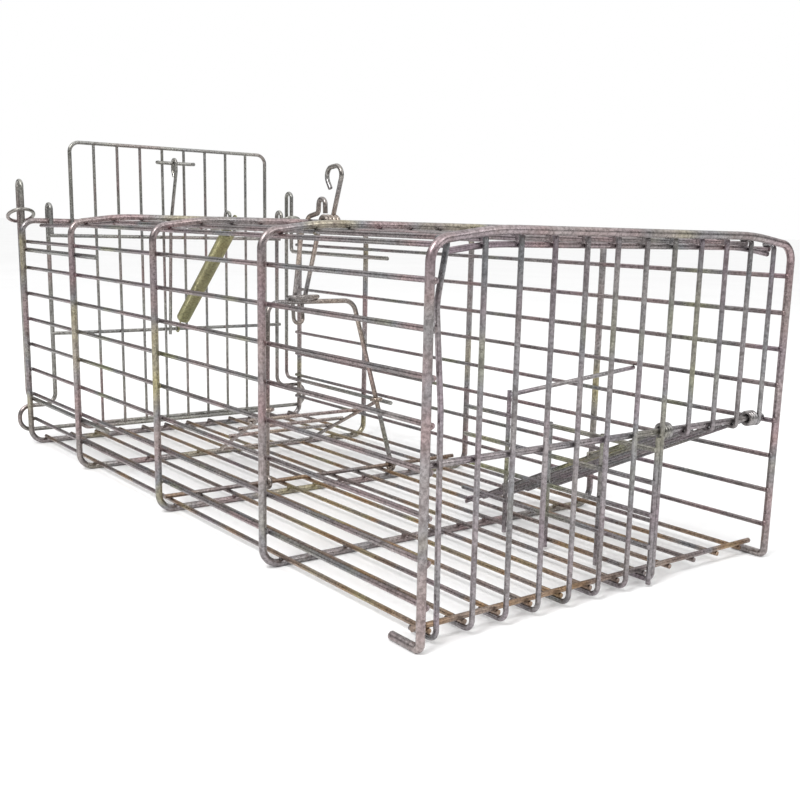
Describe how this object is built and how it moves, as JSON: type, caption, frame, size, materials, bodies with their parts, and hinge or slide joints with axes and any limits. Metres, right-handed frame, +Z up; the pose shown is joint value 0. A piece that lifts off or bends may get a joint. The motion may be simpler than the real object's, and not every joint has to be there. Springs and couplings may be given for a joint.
{
  "type": "live-capture cage trap",
  "caption": "Wire live-capture cage trap with a one-way tunnel flap at one end, a spring-loaded door at the other, and a treadle and bait trigger between them.",
  "frame": {"origin": "on the ground, at the centre of the outline", "axes": "+X along the cage towards the tunnel entrance, +Y to the tunnel side, +Z up"},
  "size_m": [0.487, 0.2402, 0.2153],
  "materials": {
    "hoop_zinc": "zinc-plated and passivated drawn wire, slightly iridescent",
    "floor_zinc": "zinc-plated and passivated drawn wire, slightly iridescent",
    "mesh_zinc": "zinc-plated and passivated drawn wire, slightly iridescent",
    "front_zinc": "zinc-plated and passivated drawn wire, slightly iridescent",
    "door_zinc": "zinc-plated and passivated drawn wire, slightly iridescent",
    "spring_steel": "zinc-plated and passivated drawn wire, slightly iridescent",
    "trigger_zinc": "zinc-plated and passivated drawn wire, slightly iridescent"
  },
  "bodies": {
    "cage": {"bail_pivot_wire": "floor_zinc", "corner_guard_left": "door_zinc", "corner_guard_right": "door_zinc", "corner_tie_left": "door_zinc", "corner_tie_right": "door_zinc", "flap_hinge_bar": "front_zinc", "flap_stop_wire": "front_zinc", "floor_front_bar": "floor_zinc", "floor_wires": "floor_zinc", "front_wires_full": "front_zinc", "front_wires_short": "front_zinc", "hoop_1_front": "hoop_zinc", "hoop_2": "hoop_zinc", "hoop_3": "hoop_zinc", "hoop_4": "hoop_zinc", "hoop_5_rear": "hoop_zinc", "rod_keeper": "door_zinc", "roof_front_bar": "mesh_zinc", "roof_wires": "mesh_zinc", "side_wires_left": "mesh_zinc", "side_wires_right": "mesh_zinc", "tunnel_posts": "front_zinc", "tunnel_rails": "front_zinc"},
    "flap": {"flap_rail_left": "front_zinc", "flap_rail_right": "front_zinc", "flap_tines": "front_zinc", "flap_cross_wires": "front_zinc"},
    "door": {"door_frame": "door_zinc", "door_panel_frame": "door_zinc", "door_panel_bars": "door_zinc", "door_upper_bar": "door_zinc", "door_middle_bar": "door_zinc", "door_catch_bar": "door_zinc"},
    "rod": {"setting_rod": "door_zinc"},
    "spring_hanger": {"spring_upper_hook": "spring_steel", "spring_coil": "spring_steel"},
    "spring_foot": {"spring_lower_hook": "spring_steel"},
    "bail_body": {"bail": "trigger_zinc", "bail_catch_loop": "trigger_zinc", "bait_hook": "trigger_zinc"},
    "treadle": {"treadle_frame": "trigger_zinc", "treadle_wires": "trigger_zinc"},
    "lever": {"trigger_lever": "trigger_zinc"},
    "hanger": {"trigger_hanger": "trigger_zinc"}
  },
  "joints": [
    {"name": "flap_hinge", "type": "hinge", "parent": "cage", "child": "flap", "pos_m": [0.23582, 0.06475, 0.074], "axis": [0, 1, 0], "range_deg": [0, 24]},
    {"name": "door_hinge", "type": "hinge", "parent": "cage", "child": "door", "pos_m": [-0.22338, 0, 0.159], "axis": [0, 1, 0], "range_deg": [0, 72], "stiffness_Nm_per_rad": 0.06, "springref_deg": -20.05},
    {"name": "rod_swing", "type": "hinge", "parent": "door", "child": "rod", "pos_m": [-0.21758, 0, 0.2035], "axis": [0, 1, 0], "range_deg": [-55, 0]},
    {"name": "spring_swing", "type": "hinge", "parent": "cage", "child": "spring_hanger", "pos_m": [-0.12638, 0.0022, 0.1635], "axis": [0, 1, 0], "range_deg": [0, 31.51]},
    {"name": "spring_draw", "type": "slide", "parent": "spring_hanger", "child": "spring_foot", "axis": [-0.7529, 0, -0.6581], "range_m": [0, 0.0476], "deforming": ["spring_coil", "spring_lower_hook"]},
    {"name": "bail_hinge", "type": "hinge", "parent": "cage", "child": "bail_body", "pos_m": [-0.00788, 0, 0.0075], "axis": [0, 1, 0], "range_deg": [-7.5, 0.5]},
    {"name": "treadle_hinge", "type": "hinge", "parent": "bail_body", "child": "treadle", "pos_m": [-0.01324, 0.00396, 0.05117], "axis": [0, 1, 0], "range_deg": [-0.73, 8.14]},
    {"name": "lever_hinge", "type": "hinge", "parent": "cage", "child": "lever", "pos_m": [-0.00188, 0, 0.1635], "axis": [0, 1, 0], "range_deg": [-1.45, 18.93]},
    {"name": "hanger_hinge", "type": "hinge", "parent": "cage", "child": "hanger", "pos_m": [-0.00188, -0.0126, 0.1635], "axis": [0, 1, 0], "range_deg": [-1.45, 18.93]}
  ],
  "couplings": [
    {"joint": "spring_swing", "follows": "door_hinge", "ratio": 0.4348},
    {"joint": "spring_draw", "follows": "door_hinge", "m_per_rad": 0.03762},
    {"joint": "treadle_hinge", "follows": "bail_hinge", "ratio": -1.059},
    {"joint": "lever_hinge", "follows": "bail_hinge", "ratio": -2.497},
    {"joint": "hanger_hinge", "follows": "bail_hinge", "ratio": -2.497}
  ]
}
